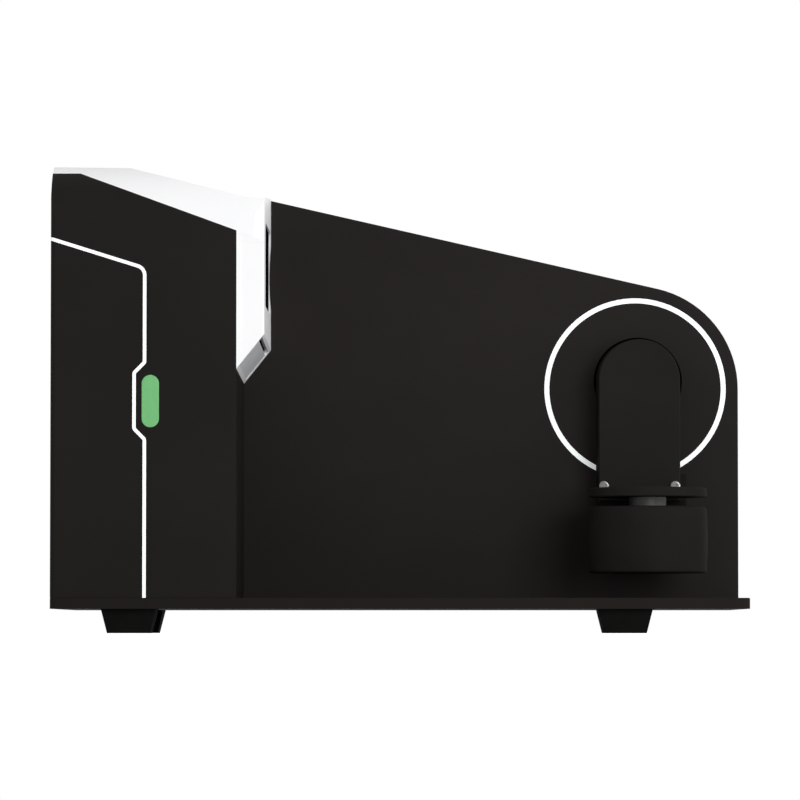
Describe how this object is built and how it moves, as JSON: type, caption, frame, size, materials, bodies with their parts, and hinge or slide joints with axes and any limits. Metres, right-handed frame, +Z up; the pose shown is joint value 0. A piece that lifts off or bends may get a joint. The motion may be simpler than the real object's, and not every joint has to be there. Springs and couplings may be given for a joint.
{
  "type": "dental desktop scanner",
  "caption": "Desktop 3-D scanner for dental models: tall optics tower with a hooded nose, rear wall with a light ring, and a swing arm carrying a motor-driven turntable.",
  "frame": {"origin": "under the middle of the base plate, on the surface that the feet stand on", "axes": "+X along the length from the optics tower to the swing arm, -Y to the side seen in the picture, +Z up"},
  "size_m": [0.505, 0.271, 0.345],
  "materials": {
    "casing_black": "satin",
    "hood_white": "satin",
    "diffuser_white": "gloss",
    "led_strip": "gloss",
    "button_green": "satin",
    "nose_grey": "matte",
    "window_dark": "gloss",
    "foot_rubber": "matte",
    "drum_black": "satin",
    "disc_black": "satin",
    "steel": "satin",
    "zinc_screw": "satin",
    "black_screw": "satin",
    "machined": "satin",
    "black_anodised": "satin",
    "lens_black": "gloss",
    "motor_case": "satin",
    "gear_brass": "satin",
    "board_green": "satin",
    "component_black": "matte",
    "supply_case": "satin",
    "connector_black": "matte"
  },
  "bodies": {
    "scanner_base": {"base_plate": "casing_black", "rubber_feet": "foot_rubber", "foot_screws": "zinc_screw", "wall_panel": "casing_black", "ring_diffuser": "diffuser_white", "ring_led_strip": "led_strip", "housing_casing": "casing_black", "rear_panel": "casing_black", "tie_rods": "machined", "rear_panel_screws": "black_screw", "tower_side_cover": "casing_black", "trim_line": "diffuser_white", "tower_front_panel": "casing_black", "push_switch": "component_black", "optics_hood": "hood_white", "nose_underside_panel": "nose_grey", "window_pane": "window_dark", "bench_posts": "machined", "optical_bench": "machined", "optics_cradle": "black_anodised", "projector_body": "black_anodised", "projector_lens": "lens_black", "scan_cameras": "black_anodised", "camera_lenses": "lens_black", "swing_bearings": "steel", "bearing_stand": "black_anodised", "swing_motor": "motor_case", "board_standoffs": "zinc_screw", "main_board": "board_green", "board_components": "component_black", "power_supply": "supply_case", "power_inlet": "connector_black", "inlet_pins": "zinc_screw", "usb_port": "zinc_screw", "switch_body": "connector_black", "fan_frame": "connector_black"},
    "swing_arm": {"swing_hub": "steel", "swing_gear": "gear_brass", "arm_bracket": "casing_black", "arm_cover": "casing_black", "arm_screws": "black_screw", "drum_housing": "drum_black", "drum_bottom_cover": "drum_black", "table_bearing": "steel", "turntable_motor": "motor_case"},
    "turntable": {"turntable_shaft": "disc_black", "turntable_disc": "disc_black", "disc_screws": "black_screw"},
    "start_button": {"start_button": "button_green"},
    "power_rocker": {"power_rocker": "connector_black"},
    "fan_rotor": {"fan_rotor": "connector_black"},
    "motor_pinion": {"motor_pinion": "steel"}
  },
  "joints": [
    {"name": "arm_swing", "type": "hinge", "parent": "scanner_base", "child": "swing_arm", "pos_m": [0.1775, 0.00949, 0.1883], "axis": [0, 1, 0], "range_deg": [-90, 90]},
    {"name": "turntable_spin", "type": "hinge", "parent": "swing_arm", "child": "turntable", "pos_m": [0.1816, -0.06521, 0.10297], "axis": [0, 0, 1], "continuous": true},
    {"name": "start_press", "type": "slide", "parent": "scanner_base", "child": "start_button", "axis": [0, 1, 0], "range_m": [0, 0.0015], "stiffness_N_per_m": 400, "springref_m": -0.002},
    {"name": "power_rock", "type": "hinge", "parent": "scanner_base", "child": "power_rocker", "pos_m": [-0.15, 0.126, 0.062], "axis": [1, 0, 0], "range_deg": [0, 14]},
    {"name": "fan_spin", "type": "hinge", "parent": "scanner_base", "child": "fan_rotor", "pos_m": [-0.02, 0.1195, 0.084], "axis": [0, 1, 0], "continuous": true},
    {"name": "pinion_spin", "type": "hinge", "parent": "scanner_base", "child": "motor_pinion", "pos_m": [0.1325, 0.05, 0.1883], "axis": [0, 1, 0], "range_deg": [-270, 270]}
  ],
  "couplings": [
    {"joint": "pinion_spin", "follows": "arm_swing", "ratio": -3}
  ]
}
